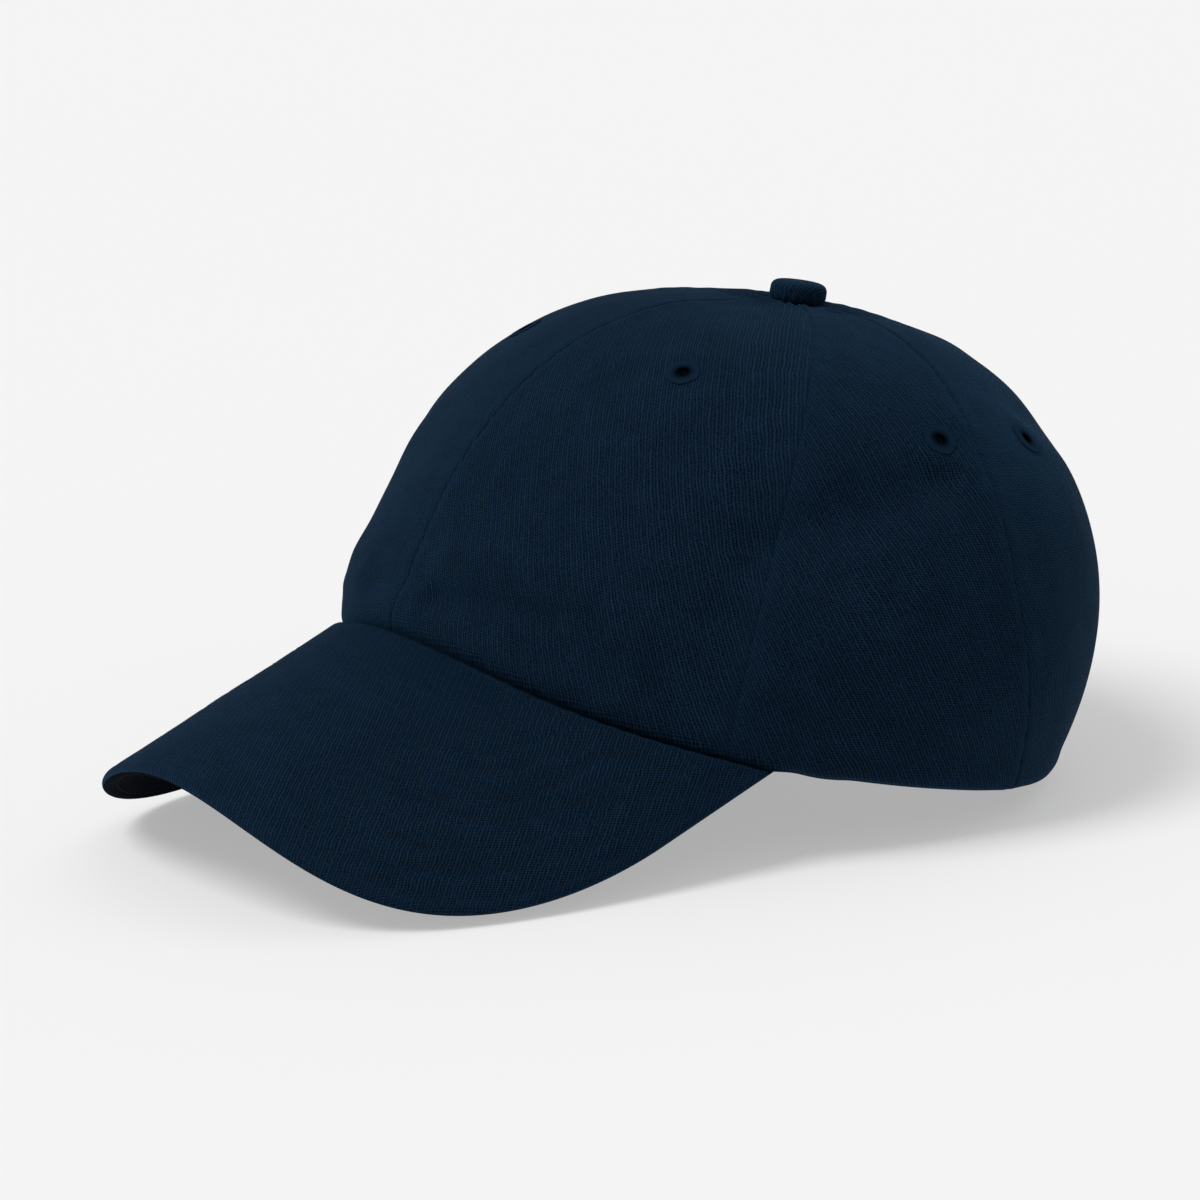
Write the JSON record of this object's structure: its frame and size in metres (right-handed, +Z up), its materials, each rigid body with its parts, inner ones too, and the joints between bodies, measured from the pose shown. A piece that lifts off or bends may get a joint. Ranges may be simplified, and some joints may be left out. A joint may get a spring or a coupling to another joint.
{
  "type": "baseball cap",
  "caption": "Unstructured low-profile baseball cap with a panelled cloth crown, curved visor, cloth-covered button, sewn eyelets and a cloth strap with a metal clamp buckle.",
  "frame": {"origin": "under the middle of the cap on the surface it stands on", "axes": "+Z up, the visor points to -Y, the wearer's left is +X"},
  "size_m": [0.1918, 0.2464, 0.1204],
  "materials": {
    "crown_twill": "matte brushed cotton twill",
    "visor_twill": "matte brushed cotton twill",
    "strap_twill": "matte brushed cotton twill",
    "button_twill": "matte brushed cotton twill",
    "band_twill": "plain cotton twill",
    "eyelet_thread": "satin-stitched thread",
    "seam_tape": "woven cotton tape",
    "band_padding": "soft felted padding",
    "visor_board": "smooth flexible sheet",
    "woven_label": "plain woven satin, blank",
    "buckle_metal": "brushed antique brass",
    "button_metal": "plain pressed steel"
  },
  "bodies": {
    "crown": {"panel_front_left": "crown_twill", "panel_front_right": "crown_twill", "panel_side_left": "crown_twill", "panel_side_right": "crown_twill", "panel_back_left": "crown_twill", "panel_back_right": "crown_twill", "eyelet_front_left": "eyelet_thread", "eyelet_front_right": "eyelet_thread", "eyelet_side_left": "eyelet_thread", "eyelet_side_right": "eyelet_thread", "eyelet_back_left": "eyelet_thread", "eyelet_back_right": "eyelet_thread", "seam_tape_front": "seam_tape", "seam_tape_back": "seam_tape", "seam_tape_front_left": "seam_tape", "seam_tape_front_right": "seam_tape", "seam_tape_back_left": "seam_tape", "seam_tape_back_right": "seam_tape", "sweatband_padding": "band_padding", "sweatband_facing": "band_twill", "visor_top_cover": "visor_twill", "visor_under_cover": "visor_twill", "visor_board": "visor_board", "arch_binding": "seam_tape", "inner_label": "woven_label", "buckle_tab": "strap_twill", "buckle_frame": "buckle_metal", "buckle_pin": "buckle_metal", "button_cover": "button_twill", "button_shell": "button_metal", "button_stud": "button_metal", "button_backing": "button_metal"},
    "strap": {"closure_strap": "strap_twill"},
    "lever": {"buckle_lever": "buckle_metal"}
  },
  "joints": [
    {"name": "strap_slide", "type": "hinge", "parent": "crown", "child": "strap", "pos_m": [0, 0.02113, 0.03083], "axis": [0, 0.2164, 0.9763], "range_deg": [-8, 8]},
    {"name": "lever_hinge", "type": "hinge", "parent": "crown", "child": "lever", "pos_m": [-0.03625, 0.11005, 0.0105], "axis": [-0.0648, 0.4179, 0.9062], "range_deg": [0, 100]}
  ]
}
